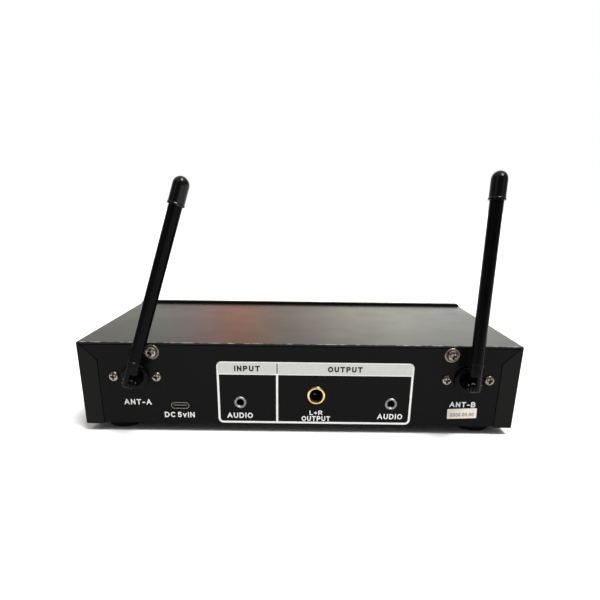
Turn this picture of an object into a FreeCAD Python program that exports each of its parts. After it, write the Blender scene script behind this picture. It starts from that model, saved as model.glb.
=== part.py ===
"""Dual-antenna wireless audio receiver, in millimetres, standing on its feet at Z = 0.

The connectors and antennas face -Y, the controls face +Y, and +X is to the right of someone who looks
at the connectors. Every driving size is a named cell of the sizes sheet.
"""
import FreeCAD, Part
import math
import os
import Sketcher
from FreeCAD import Placement, Rotation, Vector

doc = FreeCAD.newDocument("receiver")
sheet = doc.addObject("Spreadsheet::Sheet", "sizes")
nodes = {}

TURNED = {
    "+X": Rotation(Vector(0, 1, 0), 90),
    "-X": Rotation(Vector(0, 1, 0), -90),
    "+Y": Rotation(Vector(1, 0, 0), -90),
    "-Y": Rotation(Vector(1, 0, 0), 90),
    "+Z": Rotation(),
    "-Z": Rotation(Vector(1, 0, 0), 180),
}


# ---------------------------------------------------------------- sizes that carry their expression


class Size:
    """A number, together with the sheet expression that gives it."""

    def __init__(self, value, text):
        self.value = float(value)
        self.text = text

    def __add__(self, other):
        other = as_size(other)
        return Size(self.value + other.value, f"({self.text} + {other.text})")

    def __sub__(self, other):
        other = as_size(other)
        return Size(self.value - other.value, f"({self.text} - {other.text})")

    def __mul__(self, other):
        other = as_size(other)
        return Size(self.value * other.value, f"({self.text} * {other.text})")

    def __truediv__(self, other):
        other = as_size(other)
        return Size(self.value / other.value, f"({self.text} / {other.text})")

    def __rsub__(self, other):
        return as_size(other) - self

    def __neg__(self):
        return self * -1

    __radd__ = __add__
    __rmul__ = __mul__


def as_size(number):
    """The same number as a Size."""
    return number if isinstance(number, Size) else Size(number, f"({float(number)})")


def cell(alias, value, note):
    """Put one driving size in the next row of the sheet."""
    row = str(len(sheet.getUsedCells()) // 3 + 1)
    sheet.set("A" + row, note)
    sheet.set("B" + row, str(value))
    sheet.set("C" + row, alias)
    sheet.setAlias("B" + row, alias)
    return Size(value, "sizes." + alias)


# Case
case_width = cell("case_width", 212, "steel cover, side to side")
case_depth = cell("case_depth", 109, "steel cover, rear to front")
case_height = cell("case_height", 41.7, "steel cover, lower edge to top")
metal = cell("metal", 1, "sheet thickness")
foot_rise = cell("foot_rise", 4, "cover's lower edge above the table")
rear = cell("rear_plane", -58.42, "outer face of the rear panel along Y")
return_width = cell("return_width", 8.9, "cover's rear return, each side")
seam = cell("seam", 0.15, "clearance between the cover and the chassis inside it")
panel_gap = cell("panel_gap", 0.4, "open joint between the cover's returns and the rear panel")
edge_round = cell("edge_round", 0.3, "rounding of the cover's rear upper edge")
floor_lift = cell("floor_lift", 0.7, "chassis floor above the cover's lower edge")
upstand = cell("upstand", 9, "height of the chassis's side and front upstands")

# Bezel and controls
bezel_depth = cell("bezel_depth", 7.9, "front bezel, front to back")
bezel_lip = cell("bezel_lip", 1.45, "bezel above the cover's top")
bezel_wall = cell("bezel_wall", 2.2, "wall of the bezel")
bezel_brow = cell("bezel_brow", 5.5, "rounding of the bezel's upper and lower front edges")
bezel_corner = cell("bezel_corner", 2.4, "rounding of the bezel's side edges")
control_rise = cell("control_rise", 27, "middle of the knobs and buttons above the table")
knob_offset = cell("knob_offset", 60, "knobs from the middle")
knob_radius = cell("knob_radius", 8, "knob")
knob_length = cell("knob_length", 12.2, "knob, front to back")
shaft_radius = cell("shaft_radius", 3, "potentiometer shaft")
running_gap = cell("running_gap", 0.06, "radial clearance of turning shafts")
button_travel = cell("button_travel", 0.8, "stroke of the push buttons")
window_width = cell("window_width", 72, "display window")
window_height = cell("window_height", 23, "display window")

# Boards
board_top = cell("board_top", 12.4, "top face of the main board above the table")
board_metal = cell("board_thickness", 1.6, "thickness of both boards")
board_width = cell("board_width", 184, "main board")
board_depth = cell("board_depth", 78, "main board")
front_board_back = cell("front_board_back", 105, "front board's back face from the rear panel")

# Connectors, measured from the middle of the rear panel and above the table
usb_x = cell("usb_x", -58.6, "power socket")
usb_z = cell("usb_z", 14.1, "power socket")
usb_width = cell("usb_width", 8.94, "power socket shell")
usb_height = cell("usb_height", 3.26, "power socket shell")
usb_wall = cell("usb_wall", 0.3, "power socket shell")
input_x = cell("input_x", -29, "audio input jack")
output_x = cell("output_x", 45.1, "audio output jack")
small_jack_z = cell("small_jack_z", 16, "3.5 mm jacks")
small_bore = cell("small_bore", 1.8, "bore radius of the 3.5 mm jacks")
small_nose = cell("small_nose", 3, "nose radius of the 3.5 mm jacks")
line_x = cell("line_x", 8.2, "left and right output jack")
line_z = cell("line_z", 20.1, "left and right output jack")
line_bore = cell("line_bore", 3.2, "bore radius of the 6.35 mm jack")
line_nose = cell("line_nose", 4.5, "bushing radius of the 6.35 mm jack")

# Screws
screw_radius = cell("screw_radius", 1.45, "shank of the machine screws")
screw_hole = cell("screw_hole", 1.6, "clearance hole for them")
side_screw = cell("side_screw", 10.3, "antenna screws from the antenna's middle")
cover_screw_x = cell("cover_screw_x", 71.4, "upper cover screws from the middle of the pair")
cover_screw_z = cell("cover_screw_z", 41.1, "upper cover screws above the table")

# Antennas
antenna_spacing = cell("antenna_spacing", 160.4, "between the two antennas")
antenna_shift = cell("antenna_shift", 1, "middle of the antennas, and of the upper screws, along X")
antenna_z = cell("antenna_z", 28.9, "swivel axis above the table")
disc_radius = cell("disc_radius", 6.6, "antenna base")
pivot_reach = cell("pivot_reach", 10, "hinge axis behind the rear panel")
swivel_shaft = cell("swivel_shaft", 2, "radius of the swivel's shaft")
antenna_length = cell("antenna_length", 93.9, "hinge axis to the tip")
whip_radius = cell("antenna_rod_radius", 3.03, "antenna rod")
cap_radius = cell("cap_radius", 3.8, "rubber cap")
cap_length = cell("cap_length", 12.1, "rubber cap")
left_turn = cell("left_turn", 18.5, "left antenna at rest, degrees from upright, towards +X")
right_turn = cell("right_turn", 2, "right antenna at rest, degrees from upright, towards +X")
left_lean = cell("left_lean", 3.7, "left antenna at rest, degrees over the case")
right_lean = cell("right_lean", 7.6, "right antenna at rest, degrees over the case")

# Feet
foot_radius = cell("foot_radius", 8.5, "rubber foot")
foot_x = cell("foot_x", 90.3, "feet from the middle")
foot_inset = cell("foot_inset", 13.5, "feet from the ends of the case")

doc.recompute()

half = case_width / 2
flange_bottom = foot_rise
floor_bottom = foot_rise + floor_lift
floor_top = floor_bottom + metal
case_top = foot_rise + case_height
board_bottom = board_top - board_metal
antenna_x = {"left": antenna_shift - antenna_spacing / 2, "right": antenna_shift + antenna_spacing / 2}


def depth(distance):
    """The Y of a place that far in front of the rear panel's outer face."""
    return rear + distance


# ---------------------------------------------------------------- building blocks


def bind(made, path, size):
    """Set a property, and bind it to the sheet where the size comes from there."""
    size = as_size(size)
    if "sizes." in size.text:
        made.setExpression(path, size.text)
    elif path in made.PropertiesList:
        setattr(made, path, size.value)


def place(made, base, toward="+Z"):
    """Put an object at a point, with its own Z axis turned toward a direction."""
    spots = [as_size(one) for one in base]
    made.Placement = Placement(Vector(*[one.value for one in spots]), TURNED[toward])
    for letter, one in zip("xyz", spots):
        bind(made, "Placement.Base." + letter, one)
    return made


def box(name, low, high):
    """A box between its lowest and highest corners."""
    made = doc.addObject("Part::Box", name)
    for side, start, end in zip(("Length", "Width", "Height"), low, high):
        bind(made, side, as_size(end) - start)
    return place(made, low)


def cylinder(name, radius, length, base, toward="+Z"):
    """A cylinder that starts at a point and runs toward a direction."""
    made = doc.addObject("Part::Cylinder", name)
    bind(made, "Radius", radius)
    bind(made, "Height", length)
    return place(made, base, toward)


def fuse(name, pieces):
    """One solid from overlapping pieces."""
    made = doc.addObject("Part::MultiFuse", name)
    made.Shapes = pieces
    made.Refine = True
    return made


def cut(name, base, tools):
    """A solid without what its tools take away."""
    made = doc.addObject("Part::Cut", name)
    made.Base = base
    made.Tool = tools[0] if len(tools) == 1 else fuse(name + "_tools", tools)
    made.Refine = True
    return made


def slot_prism(name, width, height, length, base):
    """A round-ended flat prism along +Y, with its middle line starting at base."""
    x, y, z = base
    reach = (width - height) / 2
    radius = height / 2
    middle = box(name + "_middle", (x - reach, y, z - radius), (x + reach, y + length, z + radius))
    ends = [cylinder(name + "_end", radius, length, (x + side, y, z), "+Y") for side in (-reach, reach)]
    return fuse(name, [middle] + ends)


def new_sketch(body, name, role, offset):
    """A sketch on one of the body's own origin planes, moved along the plane's normal."""
    sketch = body.newObject("Sketcher::SketchObject", name)
    plane = [item for item in body.Origin.OriginFeatures if item.Role == role][0]
    sketch.AttachmentSupport = [(plane, "")]
    sketch.MapMode = "FlatFace"
    offset = as_size(offset)
    sketch.AttachmentOffset = Placement(Vector(0, 0, offset.value), Rotation())
    bind(sketch, "AttachmentOffset.Base.z", offset)
    return sketch


def pin_point(sketch, part, corner, x, y):
    """Fix a sketch point at its distances from the sketch's origin."""
    for kind, size in (("DistanceX", as_size(x)), ("DistanceY", as_size(y))):
        index = sketch.addConstraint(Sketcher.Constraint(kind, -1, 1, part, corner, size.value))
        bind(sketch, f"Constraints[{index}]", size)


def draw_outline(sketch, points):
    """A closed outline of straight lines."""
    first = sketch.GeometryCount
    count = len(points)
    spots = [Vector(as_size(x).value, as_size(y).value, 0) for x, y in points]
    for number in range(count):
        sketch.addGeometry(Part.LineSegment(spots[number], spots[(number + 1) % count]), False)
    for number in range(count):
        after = first + (number + 1) % count
        sketch.addConstraint(Sketcher.Constraint("Coincident", first + number, 2, after, 1))
    for number, (x, y) in enumerate(points):
        pin_point(sketch, first + number, 1, x, y)


def pad(body, name, role, offset, length, outlines, toward_front=False):
    """Material of one thickness on some outlines; an XZ sketch faces -Y, so it can be told to run to +Y."""
    sketch = new_sketch(body, name + "_sketch", role, offset)
    for points in outlines:
        draw_outline(sketch, points)
    made = body.newObject("PartDesign::Pad", name)
    made.Profile = sketch
    made.Length = as_size(length).value
    bind(made, "Length", length)
    made.Reversed = toward_front
    body.Tip = made
    return made


def rectangle(low_x, low_y, high_x, high_y):
    """The outline of a rectangle."""
    return [(low_x, low_y), (high_x, low_y), (high_x, high_y), (low_x, high_y)]


def turned(name, outline):
    """A body turned about its own Z axis from an outline of (radius, height) points."""
    body = doc.addObject("PartDesign::Body", name)
    sketch = new_sketch(body, name + "_outline", "XZ_Plane", 0)
    draw_outline(sketch, outline)
    made = body.newObject("PartDesign::Revolution", name + "_turn")
    made.Profile = sketch
    made.ReferenceAxis = (sketch, ["V_Axis"])
    made.Angle = 360
    body.Tip = made
    return body


def round_edges(body, name, radius, wanted):
    """Fillet the edges of a body's tip that pass a test on their middle point and direction."""
    doc.recompute()
    tip = body.Tip
    chosen = []
    for number, edge in enumerate(tip.Shape.Edges, 1):
        middle = edge.valueAt((edge.FirstParameter + edge.LastParameter) / 2)
        if wanted(middle, edge):
            chosen.append(f"Edge{number}")
    made = body.newObject("PartDesign::Fillet", name)
    made.Base = (tip, chosen)
    made.Radius = as_size(radius).value
    bind(made, "Radius", radius)
    body.Tip = made


def runs_along(edge, letter):
    """Whether a straight edge lies along X, Y or Z."""
    start, end = edge.Vertexes[0].Point, edge.Vertexes[-1].Point
    along = end - start
    return along.Length > 0 and abs(getattr(along, letter)) > 0.999 * along.Length


def node(label, made):
    """Name a finished sub-part."""
    made.Label = label
    nodes[label] = made
    return made


def group(label, pattern, spots, toward="+Z"):
    """One sub-part that holds a copy of a pattern solid at each spot."""
    doc.recompute()
    copies = []
    for spot in spots:
        copy = pattern.Shape.copy()
        spot = Vector(*[as_size(one).value for one in spot])
        copy.Placement = Placement(spot, TURNED[toward]).multiply(copy.Placement)
        copies.append(copy)
    made = doc.addObject("Part::Feature", label)
    made.Shape = Part.makeCompound(copies)
    return node(label, made)


def both_sides(value):
    """A distance and its mirror."""
    return (-value, value)


# ---------------------------------------------------------------- steel case


def screw_hole_cutter(name, x, z):
    """A cutter for a screw hole through whatever stands at the rear."""
    return cylinder(name, screw_hole, metal * 4, (x, rear - metal, z), "+Y")


def make_top_cover():
    """The cover: top, sides, mitred rear returns, and two tabs for the upper screws."""
    body = doc.addObject("PartDesign::Body", "cover_sheet")
    inner = half - metal
    inner_top = case_top - metal
    channel = [
        (-half, flange_bottom),
        (-inner, flange_bottom),
        (-inner, inner_top),
        (inner, inner_top),
        (inner, flange_bottom),
        (half, flange_bottom),
        (half, case_top),
        (-half, case_top),
    ]
    pad(body, "cover_channel", "XZ_Plane", -rear, case_depth, [channel], toward_front=True)
    lap = metal / 2
    flanges = []
    for side in (-1, 1):
        flanges.append(
            [
                ((half - lap) * side, flange_bottom),
                ((half - return_width) * side, flange_bottom),
                ((half - return_width) * side, case_top - return_width),
                ((half - lap) * side, case_top - lap),
            ]
        )
    pad(body, "cover_returns", "XZ_Plane", -rear, metal, flanges, toward_front=True)
    tab_half = metal * 5
    tab_low = cover_screw_z - metal * 4
    tabs = [rectangle(x - tab_half, tab_low, x + tab_half, case_top - lap) for x in cover_screw_xs]
    pad(body, "cover_tabs", "XZ_Plane", -(depth(metal) + seam), metal, tabs, toward_front=True)
    top_corner = case_top.value
    round_edges(
        body,
        "cover_bends",
        metal * 0.9,
        lambda middle, edge: runs_along(edge, "y")
        and edge.Length > case_depth.value / 2
        and abs(middle.z - top_corner) < 0.01,
    )
    round_edges(
        body,
        "cover_rear_edge",
        edge_round,
        lambda middle, edge: runs_along(edge, "x")
        and edge.Length > case_width.value / 2
        and abs(middle.y - rear.value) < 0.01
        and abs(middle.z - top_corner) < 0.01,
    )
    holes = [
        cylinder("tab_hole", screw_radius, metal * 2, (x, depth(metal / 2), cover_screw_z), "+Y")
        for x in cover_screw_xs
    ]
    node("top_cover", cut("cover", body, holes))


def make_chassis():
    """The chassis: floor, upstands, and the rear panel with its holes."""
    body = doc.addObject("PartDesign::Body", "chassis_sheet")
    inside = half - metal - seam
    panel_side = half - return_width - panel_gap
    panel_top = case_top - metal - panel_gap
    diagonal = math.sqrt(2)
    shoulder = case_top - return_width + panel_gap * (diagonal - 1)
    ear = panel_side + (panel_top - shoulder)
    panel = [
        (-panel_side, floor_bottom),
        (panel_side, floor_bottom),
        (panel_side, shoulder),
        (ear, panel_top),
        (-ear, panel_top),
        (-panel_side, shoulder),
    ]
    pad(body, "rear_panel", "XZ_Plane", -rear, metal, [panel], toward_front=True)
    floor_start = depth(metal / 2)
    floor_end = depth(case_depth)
    side_start = depth(metal + seam)
    floor = [
        (-panel_side, floor_start),
        (panel_side, floor_start),
        (panel_side, side_start),
        (inside, side_start),
        (inside, floor_end),
        (-inside, floor_end),
        (-inside, side_start),
        (-panel_side, side_start),
    ]
    pad(body, "floor", "XY_Plane", floor_bottom, metal, [floor])
    rims = [rectangle(-inside, side_start, -inside + metal, floor_end)]
    rims.append(rectangle(inside - metal, side_start, inside, floor_end))
    rims.append(rectangle(-inside + metal * 2, floor_end - metal, inside - metal * 2, floor_end))
    pad(body, "rims", "XY_Plane", floor_bottom + metal / 2, upstand, rims)
    outside = rear - metal
    reach = metal * 4
    slack = seam / 3
    usb_spot = (usb_x, outside, usb_z)
    holes = [slot_prism("usb_opening", usb_width + seam * 2, usb_height + seam * 2, reach, usb_spot)]
    holes.append(cylinder("line_opening", line_nose + slack, reach, (line_x, outside, line_z), "+Y"))
    for x in (input_x, output_x):
        holes.append(cylinder("small_opening", small_nose + slack, reach, (x, outside, small_jack_z), "+Y"))
    for x in cover_screw_xs:
        holes.append(screw_hole_cutter("cover_screw_opening", x, cover_screw_z))
    for x in antenna_x.values():
        holes.append(cylinder("antenna_opening", bush_radius + slack, reach, (x, outside, antenna_z), "+Y"))
        for side in both_sides(side_screw):
            holes.append(screw_hole_cutter("side_screw_opening", x + side, antenna_z))
    for x, y in foot_spots:
        holes.append(cylinder("foot_opening", screw_radius, reach, (x, y, floor_bottom - metal)))
    for x in bezel_screw_xs:
        behind = (x, floor_end - metal * 2, bezel_screw_z)
        holes.append(cylinder("bezel_opening", screw_hole, reach, behind, "+Y"))
    node("chassis", cut("chassis_plates", body, holes))


cover_screw_xs = [antenna_shift + x for x in both_sides(cover_screw_x)]
foot_spots = [(x, y) for x in both_sides(foot_x) for y in (depth(foot_inset), depth(case_depth - foot_inset))]
bush_radius = swivel_shaft * 2
bezel_screw_z = floor_top + metal * 4
bezel_screw_xs = [-half * 0.8, -half * 0.3, half * 0.3, half * 0.8]


def pan_screw(name, head_radius, head_height, shank_radius, length):
    """A cross-recessed pan-head screw: its head above Z = 0, and its shank below."""
    rim = head_height * 0.45
    body = turned(
        name + "_blank",
        [
            (0, -length),
            (shank_radius * 0.6, -length),
            (shank_radius, -length + shank_radius * 0.6),
            (shank_radius, 0),
            (head_radius, 0),
            (head_radius, rim),
            (head_radius * 0.86, head_height * 0.8),
            (head_radius * 0.55, head_height),
            (0, head_height),
        ],
    )
    reach = head_radius * 0.62
    blade = head_radius * 0.19
    low = head_height * 0.15
    arms = [
        box(name + "_recess", (-reach, -blade, low), (reach, blade, head_height * 2)),
        box(name + "_recess", (-blade, -reach, low), (blade, reach, head_height * 2)),
        cylinder(name + "_well", blade * 1.9, head_height * 2, (0, 0, low)),
    ]
    return cut(name, body, arms)


def make_rear_screws():
    """Two cover screws on washers, and four antenna screws."""
    washer_metal = metal * 0.5
    washer_radius = 3.55
    washer = turned(
        "washer_ring",
        [
            (screw_hole, 0),
            (washer_radius, 0),
            (washer_radius, washer_metal * 0.6),
            (washer_radius - 0.25, washer_metal),
            (screw_hole, washer_metal),
        ],
    )
    spots = [(x, rear, cover_screw_z) for x in cover_screw_xs]
    group("cover_screw_washers", washer, spots, "-Y")
    screw = pan_screw("cover_screw", 2.6, 1.9, screw_radius, 5)
    spots = [(x, rear - washer_metal, cover_screw_z) for x in cover_screw_xs]
    group("cover_screws", screw, spots, "-Y")
    screw = pan_screw("antenna_screw", 2.35, 1.7, screw_radius, 5.5)
    spots = [(x + side, rear, antenna_z) for x in antenna_x.values() for side in both_sides(side_screw)]
    group("antenna_screws", screw, spots, "-Y")


def make_feet():
    """Four rubber feet, and the screws that hold them to the floor."""
    rise = floor_bottom
    well = screw_radius * 2.4
    foot = turned(
        "foot",
        [
            (screw_hole, rise / 2),
            (well, rise / 2),
            (well, 0),
            (foot_radius - 0.9, 0),
            (foot_radius - 0.25, 0.25),
            (foot_radius, 0.9),
            (foot_radius, rise),
            (screw_hole, rise),
        ],
    )
    group("rubber_feet", foot, [(x, y, 0) for x, y in foot_spots])
    screw = pan_screw("foot_screw", 2.8, 1.8, screw_radius, 6)
    group("foot_screws", screw, [(x, y, rise / 2) for x, y in foot_spots], "-Z")


# ---------------------------------------------------------------- front bezel, display and controls

bezel_back = depth(case_depth) + seam
bezel_front = bezel_back + bezel_depth
face_back = bezel_front - bezel_wall
front_board_y = depth(front_board_back)
front_board_face = front_board_y + board_metal
bezel_top = case_top + bezel_lip
boss_spots = [(x, z) for x in (-93, 93) for z in (20, 39)]
button_spots = {"power_button": 82, "function_button_a": -82, "function_button_b": -94}
button_radii = {"power_button": 5, "function_button_a": 3, "function_button_b": 3}
light_spots = [(82, 36.5), (-82, 34.2), (-94, 34.2)]
light_radius = 1.45


def make_bezel():
    """A moulded bezel: rounded shell, bosses, and openings for the display and the controls."""
    body = doc.addObject("PartDesign::Body", "bezel_moulding")
    outer = rectangle(-half, foot_rise, half, bezel_top)
    pad(body, "bezel_block", "XZ_Plane", -bezel_back, bezel_depth, [outer], toward_front=True)
    front_y = bezel_front.value
    round_edges(
        body,
        "bezel_brows",
        bezel_brow,
        lambda middle, edge: abs(middle.y - front_y) < 0.01 and runs_along(edge, "x"),
    )
    back_y = bezel_back.value
    side_x = half.value
    round_edges(
        body,
        "bezel_sides",
        bezel_corner,
        lambda middle, edge: abs(abs(middle.x) - side_x) < 0.01 and middle.y > back_y + 0.01,
    )
    hollow_low = (-half + bezel_wall, bezel_back - metal, floor_top + metal)
    hollow_high = (half - bezel_wall, face_back, bezel_top - bezel_wall * 2)
    shell = cut("bezel_shell", body, [box("bezel_hollow", hollow_low, hollow_high)])
    lap = metal / 2
    bosses = []
    for x, z in boss_spots:
        reach = face_back + lap - front_board_face
        bosses.append(cylinder("board_boss", 2.8, reach, (x, front_board_face, z), "+Y"))
    for x in bezel_screw_xs:
        reach = face_back + lap - bezel_back
        bosses.append(cylinder("fixing_boss", 3.4, reach, (x, bezel_back, bezel_screw_z), "+Y"))
    moulding = fuse("bezel_with_bosses", [shell] + bosses)
    through = face_back - metal
    reach = bezel_wall + metal * 2
    middle = control_rise
    tall = window_height / 2
    wide = window_width / 2
    window_seat = bezel_front - 1.3
    openings = [
        box("window_recess", (-wide, window_seat, middle - tall), (wide, bezel_front + 1, middle + tall)),
    ]
    hole_low = (-wide + 3, through, middle - tall + 2)
    openings.append(box("window_hole", hole_low, (wide - 3, bezel_front, middle + tall - 2)))
    for x in both_sides(knob_offset):
        openings.append(cylinder("knob_hole", shaft_radius + 0.6, reach, (x, through, middle), "+Y"))
    for name, x in button_spots.items():
        openings.append(cylinder("button_hole", button_radii[name] + 0.15, reach, (x, through, middle), "+Y"))
    for x, z in light_spots:
        openings.append(cylinder("light_hole", light_radius + 0.05, reach, (x, through, z), "+Y"))
    pilot = screw_radius
    for x, z in boss_spots:
        openings.append(cylinder("board_pilot", pilot, 5, (x, front_board_face, z), "+Y"))
    for x in bezel_screw_xs:
        openings.append(cylinder("fixing_pilot", pilot, 5, (x, bezel_back, bezel_screw_z), "+Y"))
    node("front_bezel", cut("bezel", moulding, openings))


def make_display():
    """The clear window in its recess, and the display module behind it."""
    gap = 0.1
    wide = window_width / 2 - gap
    tall = window_height / 2 - gap
    low = (-wide, bezel_front - 1.3, control_rise - tall)
    high = (wide, bezel_front - gap, control_rise + tall)
    node("display_window", box("window_plate", low, high))
    wide = window_width / 2 - 4
    tall = window_height / 2 - 2.2
    glass_front = bezel_front - 3
    cell_low = (-wide, front_board_face + 1, control_rise - tall)
    glass = box("display_cell", cell_low, (wide, glass_front, control_rise + tall))
    foot_low = (-wide - 3, front_board_face, control_rise - tall)
    frame = box("display_frame", foot_low, (wide + 3, front_board_face + 1.2, control_rise + tall))
    node("display_module", fuse("display", [glass, frame]))


def make_front_board():
    """The upright board behind the bezel, with its screws, switches, lights and potentiometers."""
    low = (-98, front_board_y, 15.5)
    plate = box("front_plate", low, (98, front_board_face, 43))
    holes = []
    for x, z in boss_spots:
        behind = (x, front_board_y - board_metal, z)
        holes.append(cylinder("board_hole", screw_hole, board_metal * 3, behind, "+Y"))
    node("front_board", cut("front_card", plate, holes))
    screw = pan_screw("front_screw", 2.6, 1.8, screw_radius, 6)
    group("front_board_screws", screw, [(x, front_board_y, z) for x, z in boss_spots], "-Y")
    fixing = pan_screw("bezel_screw", 2.6, 1.8, screw_radius, 5)
    inner = depth(case_depth) - metal
    group("bezel_screws", fixing, [(x, inner, bezel_screw_z) for x in bezel_screw_xs], "-Y")
    case_low = (-3.1, -3.1, 0)
    stem = cylinder("switch_stem", 1.6, 4.2, (0, 0, 0))
    switch = fuse("switch", [box("switch_case", case_low, (3.1, 3.1, 3.5)), stem])
    group("tact_switches", switch, [(x, front_board_face, control_rise) for x in button_spots.values()], "+Y")
    pipe = turned(
        "light_pipe",
        [(0, 0), (light_radius, 0), (light_radius, 10.2), (light_radius * 0.7, 10.8), (0, 11)],
    )
    group("status_lights", pipe, [(x, front_board_face, z) for x, z in light_spots], "+Y")
    inner_radius = shaft_radius + running_gap
    pot = turned(
        "potentiometer",
        [
            (inner_radius, 0.8),
            (inner_radius, 10),
            (shaft_radius + 0.55, 10),
            (shaft_radius + 0.55, 5.6),
            (7.6, 5.6),
            (7.6, 0),
            (0, 0),
            (0, 0.8),
        ],
    )
    group("potentiometers", pot, [(x, front_board_face, control_rise) for x in both_sides(knob_offset)], "+Y")


def make_knob(side, x):
    """One volume control: its shaft, and a fluted knob pressed on the shaft."""
    shaft_start = front_board_face + 1
    knob_back = bezel_front + 0.8
    shaft_end = knob_back + knob_length * 0.75
    run = shaft_end - shaft_start
    shaft = cylinder(f"{side}_shaft", shaft_radius, run, (x, shaft_start, control_rise), "+Y")
    node(f"volume_shaft_{side}", shaft)
    rim = knob_radius - 0.8
    body = turned(
        f"{side}_knob_body",
        [
            (shaft_radius, 0),
            (knob_radius, 0),
            (knob_radius, 2),
            (knob_radius - 0.5, 2.6),
            (rim, knob_length - 1),
            (rim - 1, knob_length),
            (0, knob_length),
            (0, knob_length * 0.75),
            (shaft_radius, knob_length * 0.75),
        ],
    )
    flutes = []
    count = 20
    for number in range(count):
        turn = 2 * math.pi * number / count
        x_out = (knob_radius + 0.1) * math.cos(turn)
        y_out = (knob_radius + 0.1) * math.sin(turn)
        flutes.append(cylinder("flute", 0.75, knob_length, (x_out, y_out, 2.8)))
    pointer = box("pointer", (-0.5, -knob_radius, knob_length - 0.4), (0.5, -1.5, knob_length + 1))
    knob = cut(f"{side}_knob", body, flutes + [pointer])
    node(f"volume_knob_{side}", place(knob, (x, knob_back, control_rise), "+Y"))


def make_button(name):
    """One push button: cap, retaining flange, and stem, short of its switch by the stroke."""
    radius = button_radii[name]
    stem_start = front_board_face + 4.2 + button_travel + 0.1
    flange_front = face_back - 0.2 - stem_start
    cap_front = bezel_front + 1.5 - stem_start
    body = turned(
        name + "_moulding",
        [
            (0, 0),
            (1.5, 0),
            (1.5, flange_front - 0.9),
            (radius + 0.9, flange_front - 0.9),
            (radius + 0.9, flange_front),
            (radius, flange_front),
            (radius, cap_front - 0.5),
            (radius - 0.5, cap_front),
            (radius * 0.5, cap_front - 0.15),
            (0, cap_front - 0.25),
        ],
    )
    node(name, place(body, (button_spots[name], stem_start, control_rise), "+Y"))


# ---------------------------------------------------------------- main board and what stands on it

board_start = depth(metal + 0.8)
board_end = board_start + board_depth
standoff_spots = [(x, y) for x in (-84, 84) for y in (depth(30), depth(72))] + [(as_size(0), depth(66))]


def make_main_board():
    """The main board on hexagonal standoffs."""
    low = (-board_width / 2, board_start, board_bottom)
    plate = box("main_plate", low, (board_width / 2, board_end, board_top))
    holes = []
    for x, y in standoff_spots:
        holes.append(cylinder("board_hole", screw_hole, board_metal * 3, (x, y, board_bottom - board_metal)))
    node("main_board", cut("main_card", plate, holes))
    post = doc.addObject("Part::Prism", "standoff_post")
    post.Polygon = 6
    bind(post, "Circumradius", screw_radius * 2)
    bind(post, "Height", board_bottom - floor_top)
    standoff = cut("standoff", post, [cylinder("standoff_bore", screw_radius, 20, (0, 0, -1))])
    group("board_standoffs", standoff, [(x, y, floor_top) for x, y in standoff_spots])
    screw = pan_screw("board_screw", 2.7, 1.9, screw_radius, 5)
    group("board_screws", screw, [(x, y, board_top) for x, y in standoff_spots])


def make_usb_socket():
    """The power socket: a drawn steel shell, and the tongue on its moulded base."""
    length = 7.3
    front = rear - 0.2
    outer = slot_prism("shell_outer", usb_width, usb_height, length, (usb_x, front, usb_z))
    wall = usb_wall * 2
    inner_start = (usb_x, front - 1, usb_z)
    inner = slot_prism("shell_inner", usb_width - wall, usb_height - wall, length * 2, inner_start)
    node("usb_c_shell", cut("usb_shell", outer, [inner]))
    gap = 0.05
    base_width = usb_width - wall - gap
    base_height = usb_height - wall - gap
    base = slot_prism("tongue_base", base_width, base_height, 2, (usb_x, front + length - 2, usb_z))
    low = (usb_x - 3.35, front + 0.45, usb_z - 0.35)
    tongue = box("tongue_blade", low, (usb_x + 3.35, front + length - 1, usb_z + 0.35))
    node("usb_c_tongue", fuse("usb_tongue", [base, tongue]))


jack_relief = 0.6


def make_small_jack(name, x):
    """A 3.5 mm jack: plated nose in the panel, and the moulded body on the board."""
    nose_front = rear - 0.35
    nose_length = 4
    lip = 0.35
    nose = turned(
        name + "_nose",
        [
            (small_bore, 0),
            (small_nose, 0),
            (small_nose, nose_length - lip),
            (small_nose - lip, nose_length),
            (small_bore + lip, nose_length),
            (small_bore, nose_length - lip),
        ],
    )
    node(name + "_sleeve", place(nose, (x, nose_front + nose_length, small_jack_z), "-Y"))
    body_front = nose_front + nose_length
    low = (x - 3.7, body_front, board_top)
    block = box(name + "_block", low, (x + 3.7, body_front + 11.5, board_top + 7))
    bore = cylinder(name + "_bore", small_bore, 10, (x, body_front, small_jack_z), "+Y")
    relief = cylinder(name + "_relief", small_bore + jack_relief, 1.2, (x, body_front, small_jack_z), "+Y")
    node(name + "_body", cut(name + "_case", block, [bore, relief]))


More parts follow.
